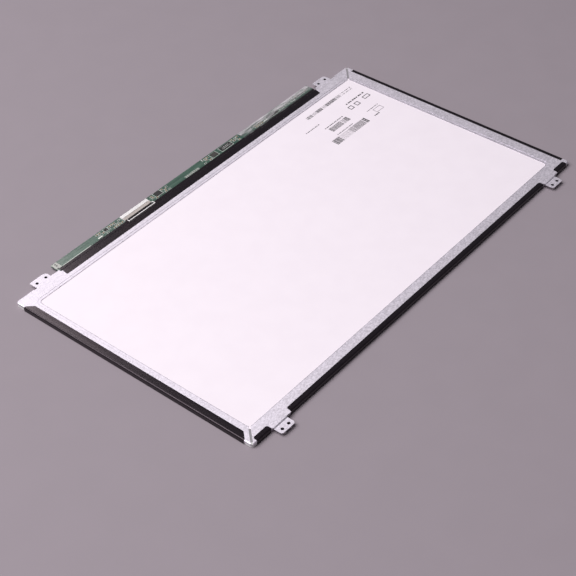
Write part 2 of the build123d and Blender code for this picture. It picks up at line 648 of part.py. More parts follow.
with BuildPart() as left_edge_tape:
    left_y = (body_y[0] + LEFT_TAPE_NEAR_SETBACK, body_y[1] - LEFT_TAPE_FAR_SETBACK)
    left_path = edge_path(-body_half_x, 1, LEFT_TAPE_REACH)
    left_section = bent_sheet(Plane.XZ.offset(-left_y[1]), left_path, edge_radii, TAPE_THICK, Side.RIGHT)
    extrude(left_section, amount=left_y[1] - left_y[0])
    # Both ends are cut on the slant
    slant_x = (-body_half_x + BEND_RADIUS, -body_half_x + LEFT_TAPE_REACH)
    with BuildSketch(Plane.XY.offset(ledge_z)):
        for end_y, inward in ((left_y[1], -1), (left_y[0], 1)):
            slant_end = (slant_x[1], end_y + inward * LEFT_TAPE_SLANT)
            Polygon(slant_end, (slant_x[1], end_y), (slant_x[0], end_y), align=None)
    extrude(amount=2 * plate_top_z, mode=Mode.SUBTRACT)

with BuildPart() as right_edge_tape:
    right_y = (body_y[0] + RIGHT_TAPE_NEAR_SETBACK, body_y[1] - RIGHT_TAPE_FAR_SETBACK)
    right_path = edge_path(body_half_x, -1, RIGHT_TAPE_REACH)
    right_section = bent_sheet(Plane.XZ.offset(-right_y[1]), right_path, edge_radii, TAPE_THICK, Side.LEFT)
    extrude(right_section, amount=right_y[1] - right_y[0])


def near_tape(x):
    """Tape round the near edge between two values of X, with its back corners rounded."""
    near_path = edge_path(body_y[0], 1, NEAR_TAPE_REACH)
    near_section = bent_sheet(Plane.YZ.offset(x[0]), near_path, edge_radii, TAPE_THICK, Side.RIGHT)
    extrude(near_section, amount=x[1] - x[0])
    upright = edges().filter_by(Axis.Z).filter_by(lambda edge: edge.center().Z > plate_top_z)
    fillet(upright.group_by(Axis.Y)[-1], NEAR_TAPE_ROUND)


# The near edge has one long tape and two short ones, parted by the ears of the near tabs
left_ear_x = (near_ears_x[0][0] - TAPE_EAR_GAP, near_ears_x[0][1] + TAPE_EAR_GAP)
right_ear_x = (near_ears_x[1][0] - TAPE_EAR_GAP, near_ears_x[1][1] + TAPE_EAR_GAP)

with BuildPart() as near_tape_left:
    near_tape((left_ear_x[0] - SMALL_TAPE_LENGTH, left_ear_x[0]))

with BuildPart() as near_tape_long:
    near_tape((left_ear_x[1], right_ear_x[0]))

with BuildPart() as near_tape_right:
    near_tape((right_ear_x[1], right_ear_x[1] + SMALL_TAPE_LENGTH))

# Connector
connector_x = on_board(VIDEO_GROUP, 0, 0)[0]
connector_y = (board_y[1] - CONNECTOR_SETBACK - CONNECTOR_DEPTH, board_y[1] - CONNECTOR_SETBACK)
seat_y = cover_y[1] + SEAT_GAP
shell_front_y = connector_y[1] - SHELL_DEPTH
housing_x = low_high(connector_x, CONNECTOR_WIDTH - 2 * SHELL_THICK)
housing_top_z = board_top_z + HOUSING_HEIGHT
lip_plate_z = (board_top_z + TAPE_THICK, board_top_z + TAPE_THICK + SHELL_THICK)
mouth_x = low_high(connector_x, CONNECTOR_WIDTH - 2 * MOUTH_END_WALL)
mouth_z = (board_top_z + MOUTH_FLOOR, board_top_z + MOUTH_FLOOR + MOUTH_HEIGHT)
groove_y = (connector_y[0] + CONTACT_PITCH, connector_y[1])

with BuildPart() as connector_housing:
    block(housing_x, connector_y, (board_top_z, housing_top_z))
    # Room under the front for the tape and the lower lip
    block(housing_x, (connector_y[0], seat_y), (board_top_z, lip_plate_z[1]), mode=Mode.SUBTRACT)
    # The front of the top is a shade lower than the part under the shell
    step_z = (housing_top_z - HOUSING_STEP, housing_top_z)
    block(mouth_x, (connector_y[0], shell_front_y), step_z, mode=Mode.SUBTRACT)
    block(mouth_x, (connector_y[0], connector_y[0] + MOUTH_DEPTH), mouth_z, mode=Mode.SUBTRACT)
    # Grooves that hold the contacts
    groove_middle = (connector_x, (groove_y[0] + groove_y[1]) / 2, mouth_z[0] - CONTACT_THICK / 2)
    with Locations(groove_middle):
        with GridLocations(CONTACT_PITCH, 1, CONTACT_COUNT, 1):
            Box(CONTACT_WIDTH, groove_y[1] - groove_y[0], CONTACT_THICK, mode=Mode.SUBTRACT)

with BuildPart() as connector_contacts:
    contact_path = [
        (groove_y[0], mouth_z[0]), (groove_y[1] + CONTACT_THICK, mouth_z[0]),
        (groove_y[1] + CONTACT_THICK, board_top_z + CONTACT_THICK),
        (groove_y[1] + CONTACT_FOOT, board_top_z + CONTACT_THICK),
    ]
    first_contact_x = low_high(connector_x, CONTACT_PITCH * (CONTACT_COUNT - 1))[0]
    contact = bent_sheet(Plane.YZ, contact_path, 0, CONTACT_THICK, Side.RIGHT)
    for i in range(CONTACT_COUNT):
        contact_x = first_contact_x + i * CONTACT_PITCH - CONTACT_WIDTH / 2
        extrude(contact.moved(Location((contact_x, 0, 0))), amount=CONTACT_WIDTH)

with BuildPart() as connector_shell:
    shell_x = low_high(connector_x, CONNECTOR_WIDTH)
    shell_y = (shell_front_y, connector_y[1])
    block(shell_x, shell_y, (housing_top_z, housing_top_z + SHELL_THICK))
    # Cheeks at both ends, down to the board
    cheek_y = (seat_y - CHEEK_LAP, shell_front_y)
    for x in ((shell_x[0], housing_x[0]), (housing_x[1], shell_x[1])):
        block(x, shell_y, (board_top_z, housing_top_z))
        block(x, cheek_y, (lip_plate_z[0], housing_top_z - HOUSING_STEP))
    # Lower lip of the mouth: a bar on the cover tape, clear of the housing's front
    lip_plate_x = (shell_x[0] + SHELL_LIP_SHIFT, shell_x[1] + SHELL_LIP_SHIFT)
    lip_front_y = cover_y[1] - SHELL_LIP_LAP
    block(lip_plate_x, (lip_front_y, seat_y), lip_plate_z)
    lip_slot_x = (lip_plate_x[0] + SHELL_LIP_BAR, lip_plate_x[1] - SHELL_LIP_BAR)
    block(lip_slot_x, (lip_front_y + SHELL_LIP_BAR, connector_y[0]), lip_plate_z, mode=Mode.SUBTRACT)

# Chips, coils and fuses on the board
with BuildPart() as timing_controller:
    chip(on_board(TIMING_GROUP, 0, TIMING_CHIP_ROW), TIMING_CHIP_LENGTH, WIDE_CHIP_WIDTH)

with BuildPart() as led_driver_chip:
    chip(on_board(LAMP_GROUP, 0, LAMP_CHIP_ROW), LAMP_CHIP_LENGTH, LAMP_CHIP_WIDTH)

with BuildPart() as power_chip:
    chip(on_board(POWER_GROUP, 0, POWER_CHIP_ROW), POWER_CHIP_LENGTH, WIDE_CHIP_WIDTH)

with BuildPart() as memory_chip:
    chip(on_board(VIDEO_GROUP, MEMORY_CHIP_STEPS, MEMORY_CHIP_ROW), MEMORY_CHIP_LENGTH, MEMORY_CHIP_WIDTH)

with BuildPart() as power_inductors:
    chip(on_board(TIMING_GROUP, COIL_STEPS, TIMING_CHIP_ROW), COIL_LENGTH, WIDE_CHIP_WIDTH)
    chip(on_board(END_GROUP, 0, BAR_COIL_ROW), BAR_COIL_LENGTH, BAR_COIL_WIDTH)

with BuildPart() as board_fuses:
    chip(on_board(VIDEO_GROUP, VIDEO_FUSE_STEPS, INNER_ROW), FUSE_LENGTH, FUSE_WIDTH)
    chip(on_board(LAMP_GROUP, LAMP_FUSE_STEPS, INNER_ROW), FUSE_LENGTH, FUSE_WIDTH)

# Short rows of capacitors and resistors: group, steps to the row's middle, row and count
capacitor_rows = [
    (VIDEO_GROUP, -15, OUTER_ROW, 2), (VIDEO_GROUP, -13.5, MIDDLE_ROW, 1),
    (VIDEO_GROUP, -9.5, OUTER_ROW, 3), (VIDEO_GROUP, -8, INNER_ROW, 4),
    (POWER_GROUP, -2.5, MIDDLE_ROW, 1), (POWER_GROUP, -2.5, OUTER_ROW, 1), (POWER_GROUP, -1.5, INNER_ROW, 1),
    (POWER_GROUP, 2, OUTER_ROW, 1), (POWER_GROUP, 3, MIDDLE_ROW, 1), (POWER_GROUP, 2.5, INNER_ROW, 1),
    (TIMING_GROUP, -8.5, OUTER_ROW, 2), (TIMING_GROUP, -9, MIDDLE_ROW, 1), (TIMING_GROUP, -8, INNER_ROW, 1),
    (TIMING_GROUP, 3.5, OUTER_ROW, 1), (TIMING_GROUP, 4, MIDDLE_ROW, 1),
    (TIMING_GROUP, 5.5, INNER_ROW, 1), (TIMING_GROUP, 6, OUTER_ROW, 1),
    (LAMP_GROUP, -7, INNER_ROW, 4), (LAMP_GROUP, -7, MIDDLE_ROW, 4),
    (END_GROUP, -2.5, MIDDLE_ROW, 1), (END_GROUP, 2.5, MIDDLE_ROW, 1),
]
resistor_rows = [
    (VIDEO_GROUP, -15, MIDDLE_ROW, 1), (VIDEO_GROUP, -12.5, INNER_ROW, 1), (VIDEO_GROUP, -11, MIDDLE_ROW, 1),
    (VIDEO_GROUP, -8, MIDDLE_ROW, 2), (VIDEO_GROUP, -6.5, OUTER_ROW, 1),
    (POWER_GROUP, 4, INNER_ROW, 1), (POWER_GROUP, 4, OUTER_ROW, 1),
    (TIMING_GROUP, -10, OUTER_ROW, 1), (TIMING_GROUP, -10.5, INNER_ROW, 1), (TIMING_GROUP, -7, INNER_ROW, 1),
    (TIMING_GROUP, 5, OUTER_ROW, 1), (TIMING_GROUP, 5, MIDDLE_ROW, 1),
    (LAMP_GROUP, -10.5, MIDDLE_ROW, 1), (LAMP_GROUP, -3.5, MIDDLE_ROW, 1), (LAMP_GROUP, 4, MIDDLE_ROW, 1),
    (END_GROUP, -3.5, MIDDLE_ROW, 1), (END_GROUP, 3.5, MIDDLE_ROW, 1),
]


def part_bodies(rows, length, width, height):
    """Bodies of small parts, without their metal ends, standing on the board."""
    for group, steps, row, count in rows:
        with Locations((*on_board(group, steps, row), board_top_z + height / 2)):
            with GridLocations(PART_PITCH, 1, count, 1):
                Box(length * (1 - 2 * TERMINAL_SHARE), width, height)


def part_ends(rows, length, width, height):
    """The two metal ends of each of the small parts."""
    for group, steps, row, count in rows:
        with Locations((*on_board(group, steps, row), board_top_z + height / 2)):
            with GridLocations(PART_PITCH, 1, count, 1):
                with GridLocations(length * (1 - TERMINAL_SHARE), 1, 2, 1):
                    Box(length * TERMINAL_SHARE, width, height)


with BuildPart() as chip_capacitors:
    part_bodies(capacitor_rows, CAPACITOR_LENGTH, CAPACITOR_WIDTH, CAPACITOR_HEIGHT)

with BuildPart() as chip_resistors:
    part_bodies(resistor_rows, RESISTOR_LENGTH, RESISTOR_WIDTH, RESISTOR_HEIGHT)

with BuildPart() as part_terminals:
    part_ends(capacitor_rows, CAPACITOR_LENGTH, CAPACITOR_WIDTH, CAPACITOR_HEIGHT)
    part_ends(resistor_rows, RESISTOR_LENGTH, RESISTOR_WIDTH, RESISTOR_HEIGHT)

# Bare tinned pads: a row beside the cover tape and two larger ones near the board's ends
pad_z = (board_top_z, board_top_z + PAD_THICK)

with BuildPart() as test_pads:
    with Locations((*on_board(PAD_GROUP, 0, INNER_ROW), board_top_z + PAD_THICK / 2)):
        with GridLocations(PAD_PITCH, 1, PAD_COUNT, 1):
            Box(PAD_LENGTH, PAD_WIDTH, PAD_THICK)

with BuildPart() as ground_pads:
    end_pad_x = (board_left_x + END_PAD_MARGIN, board_left_x + END_PAD_MARGIN + END_PAD_LENGTH)
    end_pad_y = (cover_y[1] + END_PAD_MARGIN, board_y[1] - END_PAD_MARGIN)
    block(end_pad_x, end_pad_y, pad_z)
    bar_x, bar_y = on_board(END_GROUP, BAR_PAD_STEPS, OUTER_ROW)
    block(low_high(bar_x, BAR_PAD_LENGTH), low_high(bar_y, BAR_PAD_WIDTH), pad_z)

# Clear film over the right stretch of the board, from the cover tape to the board's outer edge
with BuildPart() as board_film:
    film_left_x = on_board(TIMING_GROUP, CLEAR_FILM_STEPS, 0)[0]
    film_foot_z = board_top_z + TAPE_THICK
    film_top_z = board_top_z + CLEAR_FILM_RISE
    hem_y = board_y[1] - CLEAR_FILM_HEM
    clear_path = [
        (cover_y[1] - CLEAR_FILM_LAP, film_foot_z), (cover_y[1], film_foot_z),
        (cover_y[1] + CLEAR_FILM_RAMP, film_top_z), (hem_y - CLEAR_FILM_SLOPE, film_top_z),
        (hem_y, board_top_z), (board_y[1], board_top_z),
    ]
    clear_plane = Plane.YZ.offset(film_left_x)
    clear_section = bent_sheet(clear_plane, clear_path, CLEAR_FILM_BEND, CLEAR_FILM_THICK, Side.LEFT)
    extrude(clear_section, amount=board_right_x - BOARD_RADIUS - film_left_x)

# One file per piece
pieces = {
    "frame_left_half": frame_left_half,
    "frame_right_half": frame_right_half,
    "seam_strips": seam_strips,
    "mould_frame": mould_frame,
    "front_polariser": front_polariser,
    "colour_filter_glass": colour_filter_glass,
    "array_glass": array_glass,
    "rear_polariser": rear_polariser,
    "cell_tape": cell_tape,
    "upper_diffuser": upper_diffuser,
    "upper_prism_sheet": upper_prism_sheet,
    "lower_prism_sheet": lower_prism_sheet,
    "lower_diffuser": lower_diffuser,
    "light_guide": light_guide,
    "reflector_sheet": reflector_sheet,
    "led_strip": led_strip,
    "led_packages": led_packages,
    "led_flex_tail": led_flex_tail,
    "driver_films": driver_films,
    "driver_chips": driver_chips,
    "control_board": control_board,
    "board_cover_tape": board_cover_tape,
    "left_edge_tape": left_edge_tape,
    "right_edge_tape": right_edge_tape,
    "near_tape_left": near_tape_left,
    "near_tape_long": near_tape_long,
    "near_tape_right": near_tape_right,
    "connector_housing": connector_housing,
    "connector_contacts": connector_contacts,
    "connector_shell": connector_shell,
    "timing_controller": timing_controller,
    "led_driver_chip": led_driver_chip,
    "power_chip": power_chip,
    "memory_chip": memory_chip,
    "power_inductors": power_inductors,
    "board_fuses": board_fuses,
    "chip_capacitors": chip_capacitors,
    "chip_resistors": chip_resistors,
    "part_terminals": part_terminals,
    "test_pads": test_pads,
    "ground_pads": ground_pads,
    "board_film": board_film,
}
os.makedirs("parts", exist_ok=True)
for name, piece in pieces.items():
    piece.part.label = name
    export_step(piece.part, f"parts/{name}.step")
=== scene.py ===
import json
from math import cos, pi, radians, sin

import bmesh
import bpy
from mathutils import Matrix, Vector


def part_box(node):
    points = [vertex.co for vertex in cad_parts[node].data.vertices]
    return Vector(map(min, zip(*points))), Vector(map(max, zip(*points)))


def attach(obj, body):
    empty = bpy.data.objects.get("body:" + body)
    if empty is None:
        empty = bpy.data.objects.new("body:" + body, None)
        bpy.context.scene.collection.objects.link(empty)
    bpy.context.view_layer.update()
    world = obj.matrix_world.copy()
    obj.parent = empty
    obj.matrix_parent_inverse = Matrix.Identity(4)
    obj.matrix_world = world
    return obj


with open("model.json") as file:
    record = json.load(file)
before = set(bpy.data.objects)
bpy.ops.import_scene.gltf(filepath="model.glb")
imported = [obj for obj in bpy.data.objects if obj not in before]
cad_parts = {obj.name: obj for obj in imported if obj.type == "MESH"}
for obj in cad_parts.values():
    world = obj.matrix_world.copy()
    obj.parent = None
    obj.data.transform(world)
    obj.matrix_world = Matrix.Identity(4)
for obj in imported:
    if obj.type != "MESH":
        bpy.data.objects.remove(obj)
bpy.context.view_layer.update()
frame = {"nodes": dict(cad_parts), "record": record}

# Looks of a laptop screen panel that lies face down, with its back up. The scene is in metres.
# Places and outlines on the panel are written in millimetres.
MM = 0.001

# Camera, at the photograph's angle
VIEW_AZIMUTH = radians(-49.6)
VIEW_ELEVATION = radians(41.43)
VIEW_ROLL = radians(-1.523)
VIEW_DISTANCE = 991.3 * MM
VIEW_TARGET = Vector((-53.9 * MM, -28.4 * MM, 0))
SENSOR_WIDTH = 36.0
LENS = 92.4

# Floor and sky, in metres
FLOOR_COLOUR = (0.315, 0.265, 0.3)
FLOOR_SHADE = 0.98
FLOOR_GRAIN = 40
FLOOR_ROUGH = (0.75, 0.85)
FLOOR_SIZE = 60.0
FLOOR_DROP = 0.05 * MM
FADE_START = 0.6
FADE_END = 3.0
SKY_COLOUR = (0.93, 0.92, 1.0)
SKY_STRENGTH = 0.12

# Soft lights: direction from the panel, distance and side in metres, and power in watts
FAR_LIGHT = dict(azimuth=radians(67), elevation=radians(42), distance=2.2, size=0.5, watts=5.2)
FAR_LIGHT_COLOUR = (1.0, 0.955, 0.95)
TOP_LIGHT = dict(azimuth=radians(140), elevation=radians(60), distance=2.4, size=2.1, watts=75)

# Window of the steel frame and the pressed lip round it, in millimetres
WINDOW_X = (-169.3, 166.1)
WINDOW_Y = (-93.15, 90.25)
WINDOW_RADIUS = 2.8
LIP_WIDTH = 2.2

# Painted shade lines on the steel: place outside the window and width in millimetres, and strength of the
# painted shade in the step
EDGE_SHADE_LINE = 0.1
SHADE_WIDTH = 0.45
STEP_SHADE = 0.4

# Shares of the steel's tone: painted shade lines, fine speckle and broad cloud
SHADE_CONTRAST = 0.61
SPECKLE_CONTRAST = 0.33
CLOUD_CONTRAST = 0.15

# Haze of the clear film: what is added across its width, and the range that takes it from clear to white
HAZE_GROWTH = 0.42
HAZE_RANGE = (0.55, 1.0)
HAZE_ALPHA = (0.05, 0.6)

# Gloss of the black tapes, and the darker tone of a clear plate's haze
TAPE_GLOSS = (1.0, 0.8, 0.92, 1)
CLEAR_SHADE = 0.92

# Relief of rough and of smooth faces
GRAIN_RELIEF = 0.004 * MM
SMOOTH_RELIEF = 0.0005 * MM

# Thickness of print, marks and leads, and the distance within which facet corners count as one
INK_HEIGHT = 0.01 * MM
MARK_HEIGHT = 0.03 * MM
LEAD_HEIGHT = 0.15 * MM
WELD = 0.001 * MM

# Collars under the screw holes
COLLAR_WALL = 0.4 * MM
COLLAR_DEPTH = 1.2 * MM
COLLAR_SIDES = 32
TAB_HALF_THICK = 0.15 * MM

# Painted shade in the gap between steel and plastic at the left side's far corner, with its outline in
# millimetres
GAP_SHADE_PROUD = 0.03
GAP_SHADE_END = 2.0
GAP_SHADE_HEIGHT = 0.4 * MM

# Print on the white sheet, in millimetres: rows of bars, widths of lines, and shares of a dash in its pitch
TOP_ROW = (80.1, 83.4)
MIDDLE_ROW = (55.4, 60.7)
NEAR_ROW = (42.4, 49.0)
THIN_LINE = 0.35
BOLD_LINE = 0.7
DASH_SHARES = (0.6, 0.85)

# Print on the board, in millimetres: room left round the parts in X and in Y, and widths of lines
SMALL_ROOM = (0.75, 0.45)
SMALL_LINE = 0.22
CHIP_ROOM = (0.9, 0.5)
CHIP_LINE = 0.3
PADS_ROOM = (0.5, 0.4)
PADS_LINE = 0.15

# Marks on the board, in millimetres: a line beside the tape, a round mark, vias, a row of bars, dark spots
TAPE_LINE_X = (-133, -106)
TAPE_LINE_OFF = (0.25, 0.8)
ROUND_MARK = (14.75, 111.2)
ROUND_MARK_RADIUS = 0.5
VIAS = ((-29.0, 109.4), (-26.6, 107.6), (-24.2, 110.2))
VIA_RADIUS = 0.4
BOARD_ROW_X = (99, 120)
BOARD_ROW_Y = (106, 111.2)
PAD_HOLES = ((-136.0, 110.1), (-136.0, 108.4), (-137.1, 105.6))
PAD_HOLE_RADIUS = 0.65

# Chip leads, in millimetres: pitch, length, the part of it under the chip, and the lead's share of the pitch
LEAD_PITCH = 0.7
LEAD_LENGTH = 0.4
LEAD_TUCK = 0.05
LEAD_SHARE = 0.5

# Rows of dashes on the long chip: inset at the ends and place across it in millimetres, and count
CHIP_DASH_ROWS = ((1.2, 1.0, 7), (1.8, 2.4, 6))
CHIP_DASH_HEIGHT = 0.45


def principled(name, **values):
    """A new node material, with constant values set on its shader's own sockets."""
    material = bpy.data.materials.new(name)
    material.use_nodes = True
    shader = material.node_tree.nodes["Principled BSDF"]
    for socket, value in values.items():
        shader.inputs[socket.replace("_", " ")].default_value = value
    return material


def feed(material, output, socket):
    """Links a node's output to one socket of the material's shader."""
    shader = material.node_tree.nodes["Principled BSDF"]
    material.node_tree.links.new(output, shader.inputs[socket])


def noise(material, scale, detail=4.0, stretch=(1, 1, 1)):
    """A noise pattern fixed to the object, with its scale in cycles per metre."""
    nodes = material.node_tree.nodes
    links = material.node_tree.links
    place = nodes.new("ShaderNodeTexCoord")
    mapping = nodes.new("ShaderNodeMapping")
    mapping.inputs["Scale"].default_value = stretch
    pattern = nodes.new("ShaderNodeTexNoise")
    pattern.inputs["Scale"].default_value = scale
    pattern.inputs["Detail"].default_value = detail
    links.new(place.outputs["Object"], mapping.inputs["Vector"])
    links.new(mapping.outputs["Vector"], pattern.inputs["Vector"])
    return pattern.outputs["Fac"]


def joined(material, operation, first, second=0):
    """The result of a math operation on one or two values, each a node's output or a plain number."""
    math_node = material.node_tree.nodes.new("ShaderNodeMath")
    math_node.operation = operation
    for socket, value in zip(math_node.inputs, (first, second)):
        if isinstance(value, (int, float)):
            socket.default_value = value
        else:
            material.node_tree.links.new(value, socket)
    return math_node.outputs["Value"]


def ranged(material, value, low, high, least=0.0, most=1.0):
    """A value taken from one range to another, and held within it."""
    spread = material.node_tree.nodes.new("ShaderNodeMapRange")
    spread.inputs["From Min"].default_value = low
    spread.inputs["From Max"].default_value = high
    spread.inputs["To Min"].default_value = least
    spread.inputs["To Max"].default_value = most
    material.node_tree.links.new(value, spread.inputs["Value"])
    return spread.outputs["Result"]


def place_along(material, axis):
    """The place of a point along one axis of the object, in metres."""
    place = material.node_tree.nodes.new("ShaderNodeTexCoord")
    parted = material.node_tree.nodes.new("ShaderNodeSeparateXYZ")
    material.node_tree.links.new(place.outputs["Object"], parted.inputs["Vector"])
    return parted.outputs[axis]


def hypotenuse(material, first, second):
    """The distance that two values at right angles make together."""
    squares = [joined(material, "MULTIPLY", value, value) for value in (first, second)]
    return joined(material, "SQRT", joined(material, "ADD", *squares))


def past_corner(material, axis, low, high):
    """How far a point lies past where the window's round corners start, in metres, or 0."""
    from_middle = joined(material, "SUBTRACT", place_along(material, axis), (low + high) / 2 * MM)
    straight = ((high - low) / 2 - WINDOW_RADIUS) * MM
    past = joined(material, "SUBTRACT", joined(material, "ABSOLUTE", from_middle), straight)
    return joined(material, "MAXIMUM", past, 0)


def window_shade_line(material, outside):
    """0 on a painted shade line that runs round the window, this far outside it in millimetres, and 1 away
    from it.
    """
    past_x = past_corner(material, "X", *WINDOW_X)
    past_y = past_corner(material, "Y", *WINDOW_Y)
    reach = hypotenuse(material, past_x, past_y)
    apart = joined(material, "SUBTRACT", reach, (WINDOW_RADIUS + outside) * MM)
    shares = joined(material, "DIVIDE", joined(material, "ABSOLUTE", apart), SHADE_WIDTH * MM)
    return joined(material, "MINIMUM", shares, 1)


def tint(material, pattern, dark, light, low=0.35, high=0.65):
    """Colours the surface between two tones by a pattern."""
    ramp = material.node_tree.nodes.new("ShaderNodeValToRGB")
    ramp.color_ramp.elements[0].position = low
    ramp.color_ramp.elements[0].color = (*dark, 1)
    ramp.color_ramp.elements[1].position = high
    ramp.color_ramp.elements[1].color = (*light, 1)
    material.node_tree.links.new(pattern, ramp.inputs["Fac"])
    feed(material, ramp.outputs["Color"], "Base Color")


def polish(material, pattern, low, high):
    """Varies the roughness between two values by a pattern."""
    feed(material, ranged(material, pattern, 0, 1, low, high), "Roughness")


def relief(material, pattern, height):
    """Raises and lowers the surface by a pattern, up to a height in metres."""
    bump = material.node_tree.nodes.new("ShaderNodeBump")
    bump.inputs["Distance"].default_value = height
    bump.inputs["Strength"].default_value = 1.0
    material.node_tree.links.new(pattern, bump.inputs["Height"])
    feed(material, bump.outputs["Normal"], "Normal")


def plain_finish(name, dark, light, grain, rough, height=GRAIN_RELIEF, **values):
    """A finish with fine grain: two close tones, uneven gloss and a slight relief."""
    material = principled(name, **values)
    grains = noise(material, grain)
    tint(material, grains, dark, light)
    polish(material, grains, *rough)
    relief(material, grains, height)
    return material


def steel_finish():
    """Satin sheet steel: speckle over a faint cloud, with painted shade lines at the window's edge and in the
    lip's step.
    """
    material = principled("steel", Metallic=0.75)
    clouds = noise(material, scale=60)
    speckle = noise(material, scale=1050, detail=2, stretch=(0.7, 1, 1))
    grains = ranged(material, speckle, low=0.3, high=0.7)

    # Painted shade in the lip's step: full at the far side and fading to nothing at the near side
    far_side_shade = ranged(material, place_along(material, "Y"), *(edge * MM for edge in WINDOW_Y))
    step = joined(material, "SUBTRACT", 1, window_shade_line(material, LIP_WIDTH))
    step = joined(material, "MULTIPLY", step, joined(material, "MULTIPLY", far_side_shade, STEP_SHADE))
    beside_step = joined(material, "SUBTRACT", 1, step)
    # Painted shade along the window's edge, joined with the painted shade in the step
    shade = joined(material, "MINIMUM", window_shade_line(material, EDGE_SHADE_LINE), beside_step)

    tone = joined(material, "MULTIPLY", shade, SHADE_CONTRAST)
    tone = joined(material, "ADD", tone, joined(material, "MULTIPLY", grains, SPECKLE_CONTRAST))
    tone = joined(material, "ADD", tone, joined(material, "MULTIPLY", clouds, CLOUD_CONTRAST))
    tint(material, tone, dark=(0.43, 0.392, 0.452), light=(0.94, 0.87, 0.968), low=0.1, high=1.0)
    polish(material, grains, low=0.46, high=0.6)
    relief(material, grains, height=0.0015 * MM)
    return material


def board_finish():
    """Green solder mask with fine conductor lines under it."""
    material = principled("board", Coat_Weight=1.0, Coat_Roughness=0.2)
    lines = noise(material, scale=220, detail=2, stretch=(0.25, 4, 1))
    tint(material, lines, dark=(0.029, 0.073, 0.053), light=(0.061, 0.121, 0.091), low=0.40, high=0.60)
    polish(material, lines, low=0.28, high=0.42)
    relief(material, lines, GRAIN_RELIEF)
    return material


def edge_tape_finish():
    """Black tape pulled round a short edge, with shallow ridges along its length."""
    material = principled("edge_tape", Specular_Tint=TAPE_GLOSS, Specular_IOR_Level=0.4)
    ridges = noise(material, scale=420, detail=2, stretch=(1, 0.04, 1))
    tint(material, ridges, dark=(0.008, 0.006, 0.008), light=(0.012, 0.009, 0.012))
    polish(material, ridges, low=0.18, high=0.3)
    relief(material, ridges, height=0.06 * MM)
    return material


def flex_finish():
    """Amber film with conductor lines that run across it."""
    material = principled("flex_film", Specular_IOR_Level=0.5)
    lines = noise(material, scale=300, detail=1, stretch=(12, 0.4, 1))
    tint(material, lines, dark=(0.30, 0.13, 0.03), light=(0.52, 0.27, 0.08), low=0.45, high=0.55)
    polish(material, lines, low=0.25, high=0.4)
    return material


def film_finish():
    """Clear film with a white haze that grows towards the board's outer edge, in streaks and creases."""
    material = principled("clear_film", Specular_IOR_Level=0.7)
    low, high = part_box("board_film")
    across = ranged(material, place_along(material, "Y"), low[1], high[1])
    creases = noise(material, scale=300, detail=4, stretch=(0.3, 1.3, 1))
    haze = joined(material, "ADD", joined(material, "MULTIPLY", across, HAZE_GROWTH), creases)
    tint(material, haze, (0.5, 0.5, 0.5), (0.9, 0.82, 0.88), *HAZE_RANGE)
    feed(material, ranged(material, haze, *HAZE_RANGE, *HAZE_ALPHA), "Alpha")
    polish(material, creases, low=0.15, high=0.3)
    relief(material, creases, height=0.05 * MM)
    return material


def clear_finish(name, tone, alpha, rough):
    """A clear film or plate: partly see-through, with a faint haze."""
    material = principled(name, Alpha=alpha, Specular_IOR_Level=0.6)
    haze = noise(material, scale=90)
    tint(material, haze, tuple(CLEAR_SHADE * value for value in tone), tone)
    polish(material, haze, *rough)
    return material


